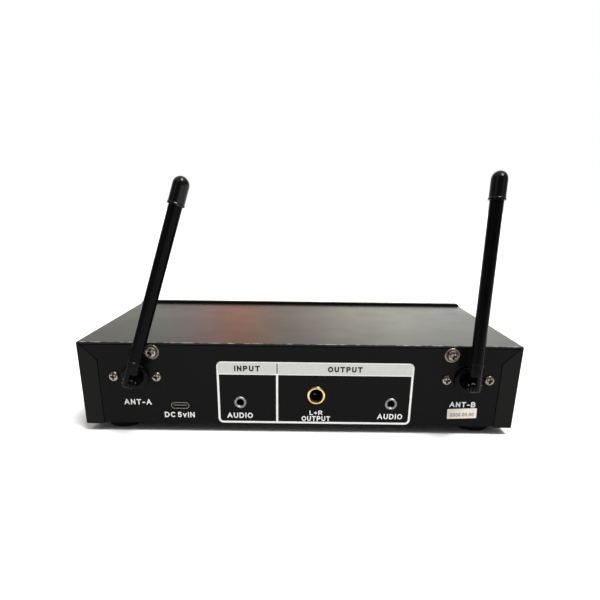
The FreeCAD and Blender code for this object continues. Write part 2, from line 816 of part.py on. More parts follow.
def make_line_jack():
    """The 6.35 mm jack: gold-plated bushing in the panel, and the moulded body on the board."""
    length = 5
    front = rear - 0.8
    lip = 0.55
    bushing = turned(
        "line_bushing",
        [
            (line_bore, 0),
            (line_nose, 0),
            (line_nose, length - lip),
            (line_nose - lip * 0.5, length - lip * 0.15),
            (line_nose - lip, length),
            (line_bore + lip, length),
            (line_bore + lip * 0.4, length - lip * 0.2),
            (line_bore, length - lip),
        ],
    )
    node("line_jack_bushing", place(bushing, (line_x, front + length, line_z), "-Y"))
    low = (line_x - 7.5, front + length, board_top)
    block = box("line_block", low, (line_x + 7.5, front + length + 24, board_top + 15.4))
    inside = front + length
    bore = cylinder("line_cavity", line_bore, 22, (line_x, inside, line_z), "+Y")
    relief = cylinder("line_relief", line_bore + jack_relief, 1.5, (line_x, inside, line_z), "+Y")
    pocket_floor = line_z - 5.8
    pocket_low = (line_x - 1.2, inside + 6, pocket_floor)
    pocket = box("contact_pocket", pocket_low, (line_x + 1.2, inside + 18, line_z))
    node("line_jack_body", cut("line_case", block, [bore, relief, pocket]))
    leaf_top = line_z - 4.2
    leaf = box("leaf", (line_x - 1, inside + 7, leaf_top - 0.4), (line_x + 1, inside + 17, leaf_top))
    bump = cylinder("leaf_bump", 1.4, 2, (line_x - 1, inside + 9, leaf_top - 0.1), "+X")
    seat = box("leaf_seat", (line_x - 1, inside + 16, pocket_floor), (line_x + 1, inside + 17, leaf_top))
    node("line_jack_contact", fuse("contact_leaf", [leaf, bump, seat]))


def shield_can(name, wide, long, tall, card):
    """A small card with a screening can on it, standing on Z = 0."""
    plate = box(name + "_card", (-wide / 2 - 2, -long / 2 - 2, 0), (wide / 2 + 2, long / 2 + 2, card))
    can = box(name + "_can", (-wide / 2, -long / 2, card / 2), (wide / 2, long / 2, card + tall))
    return fuse(name, [plate, can])


def make_modules():
    """Two antenna receiver modules, the short-range radio module, capacitors, chips and headers."""
    receiver = shield_can("receiver", 22, 18, 3.2, 1)
    group("receiver_modules", receiver, [(x, depth(40), board_top) for x in both_sides(58)])
    radio = shield_can("radio", 13, 16, 2, 0.8)
    group("short_range_radio_module", radio, [(as_size(-12), depth(52), board_top)])
    capacitor = turned(
        "capacitor",
        [(0, 0), (4, 0), (4, 1), (3.7, 1.4), (4, 1.8), (4, 11), (3.4, 11.5), (0, 11.5)],
    )
    spots = [(x, y, board_top) for x in (24, 34) for y in (depth(44), depth(56))]
    spots.append((-34, depth(62), board_top))
    group("capacitors", capacitor, spots)
    chip = box("chip", (-4.5, -3.5, 0), (4.5, 3.5, 1.6))
    spots = [(-29, depth(32), board_top), (36, depth(32), board_top), (10, depth(44), board_top)]
    group("audio_chips", chip, spots)
    header = box("header", (-14, -2.5, 0), (14, 2.5, 4))
    socket_low = (-14, -4 + front_board_y - ribbon_start, ribbon_height - board_top - 2.5)
    socket_high = (14, front_board_y - ribbon_start, ribbon_height - board_top + 2.5)
    socket = box("front_socket", socket_low, socket_high)
    doc.recompute()
    pair = doc.addObject("Part::Feature", "ribbon_connectors")
    pair.Shape = Part.makeCompound([header.Shape, socket.Shape])
    node("ribbon_connectors", place(pair, (0, ribbon_start, board_top)))


ribbon_start = depth(76)
ribbon_height = as_size(25)


def make_ribbon():
    """The flat cable from the main board's header up to the front board's socket."""
    body = doc.addObject("PartDesign::Body", "ribbon")
    thick = 0.9
    back = ribbon_start - thick / 2
    low = board_top + 4
    end = front_board_y - 4
    strip = [
        (back, low),
        (back + thick, low),
        (back + thick, ribbon_height - thick * 2),
        (back + thick * 2, ribbon_height - thick / 2),
        (end, ribbon_height - thick / 2),
        (end, ribbon_height + thick / 2),
        (back + thick, ribbon_height + thick / 2),
        (back, ribbon_height - thick),
    ]
    pad(body, "ribbon_strip", "YZ_Plane", -12.5, 25, [strip])
    node("ribbon_cable", body)


def rounded_path(points):
    """A wire of straight runs, joined by arcs as large as the runs beside them allow."""
    edges = []
    last = points[0]
    for before, corner, after in zip(points, points[1:], points[2:]):
        back = (before - corner).normalize()
        ahead = (after - corner).normalize()
        turn = math.pi - back.getAngle(ahead)
        run = min((before - corner).Length, (after - corner).Length)
        trim = 0.45 * run
        radius = trim / math.tan(turn / 2)
        start = corner + back * trim
        end = corner + ahead * trim
        inward = (back + ahead).normalize()
        middle = corner + inward * (math.hypot(radius, trim) - radius)
        edges.append(Part.LineSegment(last, start).toShape())
        edges.append(Part.Arc(start, middle, end).toShape())
        last = end
    edges.append(Part.LineSegment(last, points[-1]).toShape())
    return Part.Wire(edges)


def make_lead(side, mirror):
    """A thin coaxial lead from an antenna bracket down to its receiver module."""
    x = antenna_x[side].value
    module_x = 58 * mirror
    back = depth(metal * 3).value + 0.15
    landing = board_top.value + 4.25
    route = [
        Vector(x - 5 * mirror, back, antenna_z.value - 3),
        Vector(x - 6 * mirror, back + 9, antenna_z.value - 3.5),
        Vector(x - 9 * mirror, back + 17, antenna_z.value - 7),
        Vector(module_x + 6 * mirror, back + 26, landing + 6),
        Vector(module_x + 6 * mirror, back + 26, landing),
    ]
    radius = 0.7
    path = rounded_path(route)
    ring = Part.Wire([Part.makeCircle(radius, route[0], route[1] - route[0])])
    shape = path.makePipeShell([ring], True, False)
    expected = math.pi * radius**2 * path.Length
    if abs(shape.Volume - expected) > 0.02 * expected:
        raise RuntimeError(f"the {side} lead came out wrong")
    made = doc.addObject("Part::Feature", f"coaxial_lead_{side}")
    made.Shape = shape
    node(f"coaxial_lead_{side}", made)


# ---------------------------------------------------------------- antennas

hub_end = pivot_reach - 4.2
hub_radius = 2.9
disc_metal = as_size(2)
dish_floor = as_size(1.1)
ring_half = as_size(1.75)
bush_end = metal * 4
clip_metal = as_size(0.8)


def make_antenna_base(side):
    """The fixed part of a joint: a disc with a rounded ring around its dish, and a bush through the panel."""
    bore = swivel_shaft + running_gap
    ring = []
    steps = 10
    for number in range(steps + 1):
        turn = math.pi * number / steps
        ring_x = disc_radius - ring_half + ring_half * math.cos(turn)
        ring.append((ring_x, dish_floor + (disc_metal - dish_floor) * math.sin(turn)))
    body = turned(
        f"{side}_base",
        [
            (bore, -bush_end),
            (bush_radius, -bush_end),
            (bush_radius, 0),
            (disc_radius, 0),
        ]
        + ring
        + [(bore, dish_floor)],
    )
    node(f"antenna_base_{side}", place(body, (antenna_x[side], rear, antenna_z), "-Y"))


def make_antenna_brackets():
    """The tapped plates behind the panel, which the antenna screws pull up."""
    plate = box("bracket_plate", (-side_screw - 3, metal, -5.5), (side_screw + 3, metal * 3, 5.5))
    holes = [cylinder("bracket_bore", bush_radius, metal * 6, (0, 0, 0), "+Y")]
    for x in both_sides(side_screw):
        holes.append(cylinder("bracket_tap", screw_radius, metal * 6, (x, 0, 0), "+Y"))
    bracket = cut("bracket", plate, holes)
    group("antenna_brackets", bracket, [(x, rear, antenna_z) for x in antenna_x.values()])


def antenna_frame(side):
    """The placement of an antenna's arm at rest: at the hinge, turned about Y and leaning over the case."""
    turn, lean = {"left": (left_turn, left_lean), "right": (right_turn, right_lean)}[side]
    upright = Rotation(Vector(0, 1, 0), turn.value).multiply(Rotation(Vector(1, 0, 0), -lean.value))
    hinge = Vector(antenna_x[side].value, (rear - pivot_reach).value, antenna_z.value)
    return Placement(hinge, upright), Placement(hinge, Rotation(Vector(0, 1, 0), turn.value))


lap_side = {"left": 1, "right": -1}
lap_gap = 0.05
lap_width = 2.7
pin_radius = 1.0
pin_head = 1.5
pin_head_rise = 0.5
slot_width = 0.5
slot_depth = 0.3
groove_width = 0.45
groove_floor = -2.1


def lap_box(name, near, far, side, low, high):
    """A box beside a joint's middle plane; near and far count from the plane toward one side."""
    xs = sorted((near * side, far * side))
    return box(name, (xs[0], low[0], low[1]), (xs[1], high[0], high[1]))


def lug(name, bar, radius, side, step, pin_fit, extra):
    """A bar along +Z: its end is halved up to the step, rounded about the hinge, and bored for the pin."""
    reach = radius * 2
    heel_block = box(name + "_heel_block", (-reach, -reach, -reach), (reach, reach, 0))
    heel_round = cylinder(name + "_heel_round", radius, reach * 2, (-reach, 0, 0), "+X")
    waste = cut(name + "_heel_waste", heel_block, [heel_round])
    low = (-reach, -reach)
    other_half = lap_box(name + "_other_half", -lap_gap, reach, -side, low, (reach, step))
    flat = lap_box(name + "_flat", lap_width, reach, side, low, (reach, step + 0.8))
    eye = cylinder(name + "_eye", pin_fit, reach * 2, (-reach, 0, 0), "+X")
    return cut(name, bar, [waste, other_half, flat, eye] + extra)


def make_swivel(side):
    """The turning part: shaft in the bush, hub in the dish, and the half lap that carries the hinge."""
    _, frame = antenna_frame(side)
    start = pivot_reach - dish_floor - 0.1
    shaft_end = pivot_reach + bush_end + clip_metal + 0.2
    bar = turned(
        f"{side}_hub",
        [(0, -hub_radius), (hub_radius, -hub_radius), (hub_radius, start), (swivel_shaft, start)]
        + [(swivel_shaft, shaft_end), (0, shaft_end)],
    )
    near = (lap_width + lap_gap - groove_width) / 2
    low = (-hub_radius, -hub_radius * 2)
    high = (hub_radius, groove_floor)
    groove = lap_box(f"{side}_groove", near, near + groove_width, lap_side[side], low, high)
    step = pivot_reach - hub_end
    made = lug(f"{side}_swivel", bar, hub_radius, lap_side[side], step, pin_radius + running_gap, [groove])
    made.Placement = frame.multiply(Placement(Vector(), TURNED["+Y"]))
    node(f"antenna_swivel_{side}", made)
    rim = swivel_shaft * 1.8
    outline = [(swivel_shaft, 0), (rim, 0), (rim, clip_metal), (swivel_shaft, clip_metal)]
    clip = turned(f"{side}_clip", outline)
    node(f"retaining_clip_{side}", place(clip, (antenna_x[side], depth(bush_end) + 0.1, antenna_z), "+Y"))


knuckle_radius = 3.05
knuckle_step = 4.7
collar_radius = 3.3
collar_start = 9.3
knuckle_top = 10.9
dimple_height = 7.8
socket_radius = 2.4
socket_floor = 5.4


def make_knuckle(side):
    """The barrel that holds the rod: its half lap turns on the hinge beside the swivel's."""
    frame, _ = antenna_frame(side)
    toward = -lap_side[side]
    bar = turned(
        f"{side}_barrel",
        [
            (0, -knuckle_radius),
            (knuckle_radius, -knuckle_radius),
            (knuckle_radius, collar_start - 0.2),
            (collar_radius, collar_start),
            (collar_radius, knuckle_top - 0.3),
            (collar_radius - 0.3, knuckle_top),
            (0, knuckle_top),
        ],
    )
    socket = cylinder(f"{side}_socket", socket_radius, knuckle_top, (0, 0, socket_floor))
    dimple_depth = 0.5
    dimple_y = -(knuckle_radius - dimple_depth) * toward
    dimple_way = "-Y" if toward > 0 else "+Y"
    dimple = cylinder(f"{side}_dimple", 0.75, 1, (0.6 * toward, dimple_y, dimple_height), dimple_way)
    made = lug(f"{side}_knuckle", bar, knuckle_radius, toward, knuckle_step, pin_radius, [socket, dimple])
    made.Placement = frame
    node(f"antenna_knuckle_{side}", made)
    slot_end = lap_width + pin_head_rise
    shaft = cylinder(f"{side}_pin", pin_radius, lap_width * 2, (-lap_width, 0, 0), "+X")
    heads = [cylinder(f"{side}_pin_head", pin_head, pin_head_rise, (lap_width, 0, 0), "+X")]
    heads.append(cylinder(f"{side}_pin_foot", pin_head, pin_head_rise, (-lap_width, 0, 0), "-X"))
    low = (-pin_head, -slot_width / 2)
    high = (pin_head, slot_width / 2)
    slot = lap_box(f"{side}_pin_slot", slot_end - slot_depth, slot_end + 1, toward, low, high)
    pin = cut(f"{side}_hinge_screw", fuse(f"{side}_pin_solid", [shaft] + heads), [slot])
    pin.Placement = frame
    node(f"hinge_screw_{side}", pin)


def make_rod(side):
    """The antenna rod on its spigot, the conductor inside it, and the rubber cap over its end."""
    frame, _ = antenna_frame(side)
    bore = 1.1
    cap_floor = antenna_length - cap_length
    rod_end = antenna_length - 2.6
    rod = turned(
        f"{side}_rod",
        [
            (bore, socket_floor),
            (socket_radius, socket_floor),
            (socket_radius, knuckle_top),
            (whip_radius, knuckle_top),
            (whip_radius, cap_floor),
            (whip_radius - 0.4, cap_floor),
            (whip_radius - 0.4, rod_end),
            (bore, rod_end),
        ],
    )
    rod.Placement = frame
    node(f"antenna_rod_{side}", rod)
    wire_end = rod_end - 0.5
    wire = cylinder(f"{side}_wire", bore - 0.2, wire_end - socket_floor, (0, 0, socket_floor))
    foot = cylinder(f"{side}_wire_foot", bore, 2, (0, 0, socket_floor))
    conductor = fuse(f"{side}_conductor", [wire, foot])
    conductor.Placement = frame
    node(f"antenna_conductor_{side}", conductor)
    dome = cap_radius * 0.95
    steps = 6
    outline = [
        (0, rod_end),
        (whip_radius - 0.4, rod_end),
        (whip_radius - 0.4, cap_floor),
        (cap_radius, cap_floor),
        (cap_radius, cap_floor + 0.9),
        (cap_radius - 0.2, cap_floor + 1.2),
    ]
    for number in range(steps):
        turn = math.pi / 2 * number / steps
        outline.append(((cap_radius - 0.2) * math.cos(turn), antenna_length - dome + dome * math.sin(turn)))
    outline.append((0, antenna_length))
    cap = turned(f"{side}_cap", outline)
    cap.Placement = frame
    node(f"antenna_cap_{side}", cap)


# ---------------------------------------------------------------- the whole object


def check_document():
    """Stop if any object failed, or any sub-part has no valid shape."""
    doc.recompute()
    for item in doc.Objects:
        if "Invalid" in item.State or "Error" in item.State:
            raise RuntimeError(f"{item.Name} failed: {item.State}")
    for label, made in nodes.items():
        if made.Shape.isNull() or not made.Shape.isValid() or not made.Shape.Solids:
            raise RuntimeError(f"{label} has no valid solid")


def main():
    make_top_cover()
    make_chassis()
    make_rear_screws()
    make_feet()
    make_bezel()
    make_display()
    make_front_board()
    for side, x in zip(("left", "right"), both_sides(knob_offset)):
        make_knob(side, x)
    for name in button_spots:
        make_button(name)
    make_main_board()
    make_usb_socket()
    make_small_jack("input_jack", input_x)
    make_small_jack("output_jack", output_x)
    make_line_jack()
    make_modules()
    make_ribbon()
    make_antenna_brackets()
    for side, mirror in (("left", -1), ("right", 1)):
        make_lead(side, mirror)
        make_antenna_base(side)
        make_swivel(side)
        make_knuckle(side)
        make_rod(side)
    check_document()
    os.makedirs("parts", exist_ok=True)
    for label, made in nodes.items():
        made.Shape.exportStep(f"parts/{label}.step")
    whole = Part.makeCompound([made.Shape for made in nodes.values()]).BoundBox
    print(f"{len(nodes)} sub-parts, X {whole.XMin:.2f} to {whole.XMax:.2f},")
    print(f"Y {whole.YMin:.2f} to {whole.YMax:.2f}, Z {whole.ZMin:.2f} to {whole.ZMax:.2f}")


main()
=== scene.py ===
"""The looks of a dual-antenna wireless audio receiver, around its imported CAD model, in metres.

The connectors face -Y, the controls face +Y, +Z is up, and the feet stand on Z = 0.
"""
import math

import bmesh
import bpy
from mathutils import Matrix, Vector


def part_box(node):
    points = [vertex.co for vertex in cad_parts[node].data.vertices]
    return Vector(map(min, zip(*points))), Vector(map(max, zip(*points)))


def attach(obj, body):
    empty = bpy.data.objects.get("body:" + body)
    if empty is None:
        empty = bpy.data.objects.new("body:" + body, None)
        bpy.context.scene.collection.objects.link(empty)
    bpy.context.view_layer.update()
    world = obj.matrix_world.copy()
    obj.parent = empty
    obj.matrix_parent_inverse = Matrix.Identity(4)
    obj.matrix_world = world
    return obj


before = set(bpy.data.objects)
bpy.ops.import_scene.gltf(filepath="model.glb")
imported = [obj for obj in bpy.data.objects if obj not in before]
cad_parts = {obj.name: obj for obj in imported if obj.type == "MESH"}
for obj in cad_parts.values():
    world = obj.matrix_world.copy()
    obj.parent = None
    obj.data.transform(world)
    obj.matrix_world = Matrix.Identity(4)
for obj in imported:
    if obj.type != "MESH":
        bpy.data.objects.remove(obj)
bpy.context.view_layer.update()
MM = 0.001

# Places read from the frame
COVER_LOW, COVER_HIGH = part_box("top_cover")
REAR = COVER_LOW.y
CASE_LOW = COVER_LOW.z


# ---------------------------------------------------------------- shader helpers


# A colour Mix node has several sockets of each name, so its sockets are picked by number
MIX_SHARE, MIX_FIRST, MIX_SECOND, MIX_COLOUR = 0, 6, 7, 2


class Shader:
    """A Principled material that is built up node by node."""

    def __init__(self, name):
        self.material = bpy.data.materials.new(name)
        self.material.use_nodes = True
        self.tree = self.material.node_tree
        self.surface = self.tree.nodes["Principled BSDF"]
        self.place = self.tree.nodes.new("ShaderNodeTexCoord").outputs["Object"]

    def set(self, **sockets):
        """Constants, straight on the Principled sockets: a word's underscores stand for spaces."""
        for name, value in sockets.items():
            self.surface.inputs[name.replace("_", " ")].default_value = value
        return self

    def node(self, kind, inputs=None, **settings):
        made = self.tree.nodes.new(kind)
        for name, value in settings.items():
            setattr(made, name, value)
        for name, value in (inputs or {}).items():
            self.feed(made.inputs[name], value)
        return made

    def feed(self, socket, value):
        if isinstance(value, bpy.types.NodeSocket):
            self.tree.links.new(value, socket)
        else:
            socket.default_value = value

    def noise(self, scale, detail=3.0, stretch=(1, 1, 1)):
        """Soft random values from 0 to 1; scale is in features per metre."""
        moved = self.node("ShaderNodeMapping", {"Vector": self.place, "Scale": stretch})
        inputs = {"Vector": moved.outputs["Vector"], "Scale": scale, "Detail": detail}
        return self.node("ShaderNodeTexNoise", inputs).outputs["Fac"]

    def cells(self, scale):
        """Distance to the nearest of scattered points, for grain."""
        made = self.node("ShaderNodeTexVoronoi", {"Vector": self.place, "Scale": scale})
        return made.outputs["Distance"]

    def remap(self, value, low, high, start=0.3, end=0.7):
        """A value from start to end, stretched to run from low to high, and held there beyond."""
        inputs = {"Value": value, "From Min": start, "From Max": end, "To Min": low, "To Max": high}
        return self.node("ShaderNodeMapRange", inputs).outputs["Result"]

    def times(self, first, second):
        made = self.node("ShaderNodeMath", {0: first, 1: second}, operation="MULTIPLY")
        return made.outputs["Value"]

    def blend(self, share, first, second):
        """The first colour where the share is 0, and the second where it is 1."""
        mix = self.node("ShaderNodeMix", data_type="RGBA")
        self.feed(mix.inputs[MIX_SHARE], share)
        self.feed(mix.inputs[MIX_FIRST], (*first, 1) if isinstance(first, tuple) else first)
        self.feed(mix.inputs[MIX_SECOND], (*second, 1) if isinstance(second, tuple) else second)
        return mix.outputs[MIX_COLOUR]

    def shelter(self, reach):
        """Near 0 in recesses and corners closer than the reach, and near 1 in the open."""
        made = self.node("ShaderNodeAmbientOcclusion", {"Distance": reach}, samples=8)
        return made.outputs["AO"]

    def colour(self, value):
        self.feed(self.surface.inputs["Base Color"], value)

    def rough(self, value):
        self.feed(self.surface.inputs["Roughness"], value)

    def bump(self, height, depth, strength):
        inputs = {"Height": height, "Distance": depth, "Strength": strength}
        made = self.node("ShaderNodeBump", inputs)
        self.feed(self.surface.inputs["Normal"], made.outputs["Normal"])


def powder_coat(name, dark, light, edge_height=None):
    """Black powder-coated steel.

    Above the edge height, faces square to the rear, the sheet's cut edge, are coloured lighter
    than the coat, and the bend above them is painted light in patches: partly paint worn to bare
    metal, partly a painted highlight.
    """
    paint = Shader(name).set(IOR=1.15)
    colour = paint.blend(paint.noise(14, 2.0), dark, light)
    if edge_height is not None:
        edge_strip_colour, bare_metal_and_highlight = (0.012, 0.012, 0.012), (0.5, 0.48, 0.45)
        # How far a face's normal points to -Y: square to the rear, and where the edge and bend end
        square, edge_end, bend_full = -0.99, -0.9, -0.8
        bend_fade, bend_end = -0.3, -0.05
        spot = paint.node("ShaderNodeSeparateXYZ", {"Vector": paint.place})
        normal = paint.node("ShaderNodeNewGeometry").outputs["Normal"]
        facing = paint.node("ShaderNodeSeparateXYZ", {"Vector": normal}).outputs["Y"]
        above = paint.remap(spot.outputs["Z"], 0.0, 1.0, edge_height - 0.1 * MM, edge_height)
        # The cut edge's faces are coloured a little lighter than the coat
        edge = paint.times(above, paint.remap(facing, 1.0, 0.0, square, edge_end))
        colour = paint.blend(edge, colour, edge_strip_colour)
        worn_and_glinting_patches = paint.remap(paint.noise(240, 4.0, (1, 0.2, 0.2)), 0.1, 1.0, 0.45, 0.7)
        bend = paint.times(
            paint.remap(facing, 0.0, 1.0, square, bend_full),
            paint.remap(facing, 1.0, 0.0, bend_fade, bend_end),
        )
        # Painted highlight on the bend, in patches, partly also paint worn to bare metal
        glint = paint.times(paint.times(bend, above), worn_and_glinting_patches)
        colour = paint.blend(glint, colour, bare_metal_and_highlight)
    paint.colour(colour)
    paint.rough(paint.remap(paint.noise(45, 3.0), 0.22, 0.27))
    paint.bump(paint.noise(1500, 2.0), depth=0.02 * MM, strength=0.25)
    return paint.material


def moulded_plastic(name, dark, light, rough, grain, depth, ior=1.45):
    """Moulded plastic or rubber: near-even colour, with grains per metre and their depth."""
    made = Shader(name).set(IOR=ior)
    made.colour(made.blend(made.noise(90, 3.0), dark, light))
    made.rough(made.remap(made.noise(220, 3.0), rough - 0.04, rough + 0.05))
    made.bump(made.noise(grain, 3.0), depth, strength=0.4)
    return made.material


def plated(name, clean, dull, rough):
    """Plated metal with a little tarnish, fine handling marks and painted shade in recesses."""
    recess_depth = 1.3 * MM
    made = Shader(name).set(Metallic=1.0)
    tone = made.blend(made.remap(made.noise(420, 3.0), 0.0, 1.0, 0.4, 0.7), clean, dull)
    # Painted shade: where surfaces close in within the recess depth, the colour darkens to a
    # near-black copy of the dull tone
    painted_recess_shade = tuple(0.05 * one for one in dull)
    unshaded_share = made.remap(made.shelter(recess_depth), 0.0, 1.0, 0.42, 0.9)
    made.colour(made.blend(unshaded_share, painted_recess_shade, tone))
    made.rough(made.remap(made.noise(900, 3.0), rough - 0.05, rough + 0.07))
    made.bump(made.noise(2600, 2.0), depth=0.006 * MM, strength=0.3)
    return made.material


def ink(name, colour, patchy):
    """Screen-printed ink: thin, slightly uneven, matt."""
    made = Shader(name).set(Specular_IOR_Level=0.2, Roughness=0.6)
    darker = tuple(one * patchy for one in colour)
    made.colour(made.blend(made.remap(made.noise(700, 5.0), 0.0, 1.0, 0.35, 0.6), darker, colour))
    made.bump(made.noise(2500, 3.0), depth=0.01 * MM, strength=0.4)
    return made.material


def paper():
    """A printed paper sticker, slightly yellowed, with faint fibres."""
    made = Shader("paper").set(IOR=1.3, Roughness=0.62)
    fibres = made.noise(600, 6.0, (1, 1, 3))
    made.colour(made.blend(fibres, (0.62, 0.55, 0.47), (0.8, 0.75, 0.68)))
    made.bump(fibres, depth=0.03 * MM, strength=0.5)
    return made.material


def circuit_board():
    """Green solder mask with faint track relief."""
    made = Shader("solder_mask").set(Specular_IOR_Level=0.5, Roughness=0.35)
    tracks = made.cells(260)
    share = made.remap(tracks, 0, 1, 0.2, 0.35)
    made.colour(made.blend(share, (0.005, 0.06, 0.02), (0.01, 0.12, 0.04)))
    made.bump(tracks, depth=0.03 * MM, strength=0.5)
    return made.material


def smoked_window():
    """Smoked acrylic: dark, glossy, and a little see-through."""
    made = Shader("smoked_window").set(Specular_IOR_Level=0.5, Roughness=0.06, Alpha=0.86)
    made.colour(made.blend(made.noise(40, 2.0), (0.006, 0.007, 0.008), (0.01, 0.011, 0.013)))
    made.bump(made.noise(90, 2.0), depth=0.02 * MM, strength=0.2)
    return made.material


def clear_pipe():
    """A clear light pipe."""
    made = Shader("light_pipe").set(Roughness=0.15, Transmission_Weight=0.7, IOR=1.49)
    made.colour(made.blend(made.noise(300, 2.0), (0.75, 0.85, 0.78), (0.85, 0.92, 0.87)))
    return made.material


SHEET = 1 * MM

BLACK = ((0.0009, 0.001, 0.0013), (0.0016, 0.0017, 0.0021))
BEZEL_BLACK = ((0.004, 0.004, 0.0042), (0.006, 0.006, 0.0063))
FOOT_BLACK = ((0.002, 0.002, 0.002), (0.004, 0.004, 0.004))
KNOB_BLACK = ((0.008, 0.008, 0.0084), (0.012, 0.012, 0.013))
CHIP_BLACK = ((0.006, 0.006, 0.006), (0.011, 0.011, 0.011))
TONGUE_BROWN = ((0.07, 0.058, 0.05), (0.1, 0.085, 0.07))
RIBBON_GREY = ((0.3, 0.3, 0.3), (0.4, 0.4, 0.4))
SLEEVE_BLUE = ((0.01, 0.014, 0.05), (0.016, 0.02, 0.07))

COVER = powder_coat(
    "cover_coat",
    (0.0058, 0.0056, 0.0054),
    (0.0075, 0.0073, 0.007),
    edge_height=COVER_HIGH.z - SHEET,
)
COAT = powder_coat("chassis_coat", (0.0024, 0.0024, 0.0024), (0.0036, 0.0035, 0.0034))
BEZEL = moulded_plastic(
    "bezel_plastic", *BEZEL_BLACK, rough=0.36, grain=2600, depth=0.03 * MM, ior=1.25
)
PLASTIC = moulded_plastic(
    "antenna_plastic", *BLACK, rough=0.2, grain=900, depth=0.01 * MM, ior=1.17
)
ROD = moulded_plastic("rod_plastic", *BLACK, rough=0.22, grain=700, depth=0.01 * MM, ior=1.14)
CAP = moulded_plastic("cap_rubber", *BLACK, rough=0.16, grain=900, depth=0.01 * MM, ior=1.3)
FOOT = moulded_plastic(
    "foot_rubber", *FOOT_BLACK, rough=0.7, grain=3000, depth=0.05 * MM, ior=1.2
)
KNOB = moulded_plastic(
    "knob_plastic", *KNOB_BLACK, rough=0.4, grain=2600, depth=0.03 * MM, ior=1.35
)
CHIP = moulded_plastic("chip_plastic", *CHIP_BLACK, rough=0.5, grain=4000, depth=0.02 * MM)
TONGUE = moulded_plastic("tongue_plastic", *TONGUE_BROWN, rough=0.5, grain=3000, depth=0.02 * MM)
RIBBON = moulded_plastic("ribbon_plastic", *RIBBON_GREY, rough=0.45, grain=1200, depth=0.03 * MM)
SLEEVE = moulded_plastic("capacitor_sleeve", *SLEEVE_BLUE, rough=0.3, grain=900, depth=0.01 * MM)
NICKEL = plated("nickel_plate", (0.35, 0.3, 0.245), (0.16, 0.13, 0.105), rough=0.27)
WASHER = plated("washer_plate", (0.24, 0.195, 0.15), (0.12, 0.095, 0.075), rough=0.3)
BLACKENED = plated("blackened_steel", (0.03, 0.03, 0.032), (0.018, 0.018, 0.02), rough=0.3)
JACK_NICKEL = plated("jack_nickel", (0.27, 0.27, 0.27), (0.19, 0.19, 0.19), rough=0.45)
SHELL = plated("socket_steel", (0.24, 0.22, 0.2), (0.15, 0.14, 0.13), rough=0.4)
ZINC = plated("zinc_plate", (0.6, 0.6, 0.6), (0.4, 0.4, 0.4), rough=0.35)
GOLD = plated("gold_plate", (0.9, 0.66, 0.26), (0.55, 0.37, 0.12), rough=0.22)
BRASS = plated("brass", (0.7, 0.52, 0.22), (0.45, 0.32, 0.12), rough=0.3)
WHITE_INK = ink("white_ink", (0.74, 0.74, 0.73), patchy=0.93)
BAND_INK = ink("band_ink", (0.51, 0.515, 0.48), patchy=0.94)
BLACK_INK = ink("black_ink", (0.008, 0.008, 0.008), patchy=0.8)
BROWN_INK = ink("brown_ink", (0.04, 0.028, 0.024), patchy=0.7)
PAPER = paper()
BOARD = circuit_board()
WINDOW = smoked_window()
PIPE = clear_pipe()

FINISHES = {
    "top_cover": COVER,
    "chassis": COAT,
    "front_bezel": BEZEL,
    "power_button": BEZEL,
    "function_button_a": BEZEL,
    "function_button_b": BEZEL,
    "volume_knob_left": KNOB,
    "volume_knob_right": KNOB,
    "display_window": WINDOW,
    "display_module": CHIP,
    "rubber_feet": FOOT,
    "line_jack_bushing": GOLD,
    "input_jack_sleeve": JACK_NICKEL,
    "output_jack_sleeve": JACK_NICKEL,
    "usb_c_shell": SHELL,
    "usb_c_tongue": TONGUE,
    "cover_screw_washers": WASHER,
    "main_board": BOARD,
    "front_board": BOARD,
    "receiver_modules": ZINC,
    "short_range_radio_module": ZINC,
    "antenna_brackets": ZINC,
    "board_standoffs": BRASS,
    "line_jack_contact": ZINC,
    "capacitors": SLEEVE,
    "audio_chips": CHIP,
    "ribbon_cable": RIBBON,
    "ribbon_connectors": CHIP,
    "input_jack_body": CHIP,
    "output_jack_body": CHIP,
    "line_jack_body": CHIP,
    "tact_switches": CHIP,
    "potentiometers": ZINC,
    "status_lights": PIPE,
    "coaxial_lead_left": CHIP,
    "coaxial_lead_right": CHIP,
}
for side in ("left", "right"):
    FINISHES[f"antenna_base_{side}"] = PLASTIC
    FINISHES[f"antenna_swivel_{side}"] = PLASTIC
    FINISHES[f"antenna_knuckle_{side}"] = PLASTIC
    FINISHES[f"antenna_rod_{side}"] = ROD
    FINISHES[f"antenna_cap_{side}"] = CAP
    FINISHES[f"antenna_conductor_{side}"] = BRASS
    FINISHES[f"hinge_screw_{side}"] = BLACKENED

for name, cad_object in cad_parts.items():
    finish = FINISHES.get(name, NICKEL)
    cad_object.data.materials.clear()
    cad_object.data.materials.append(finish)


# ---------------------------------------------------------------- mesh helpers


def keep(piece, body, material):
    """Give a finished piece its material and its body."""
    piece.data.materials.clear()
    piece.data.materials.append(material)
    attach(piece, body)


def new_piece(name, mesh):
    piece = bpy.data.objects.new(name, mesh)
    bpy.context.scene.collection.objects.link(piece)
    return piece


def rounded_outline(low_x, low_z, high_x, high_z, radius, steps=6):
    """A rectangle with round corners.

    The radius is one number, or four from the lower left corner, anticlockwise.
    """
    radii = radius if isinstance(radius, tuple) else (radius,) * 4
    corners = (
        (low_x, low_z, 180),
        (high_x, low_z, 270),
        (high_x, high_z, 0),
        (low_x, high_z, 90),
    )
    points = []
    for (x, z, start), r in zip(corners, radii):
        centre_x = x + r if x == low_x else x - r
        centre_z = z + r if z == low_z else z - r
        for step in range(steps + 1):
            turn = math.radians(start + 90 * step / steps)
            points.append((centre_x + r * math.cos(turn), centre_z + r * math.sin(turn)))
    return points


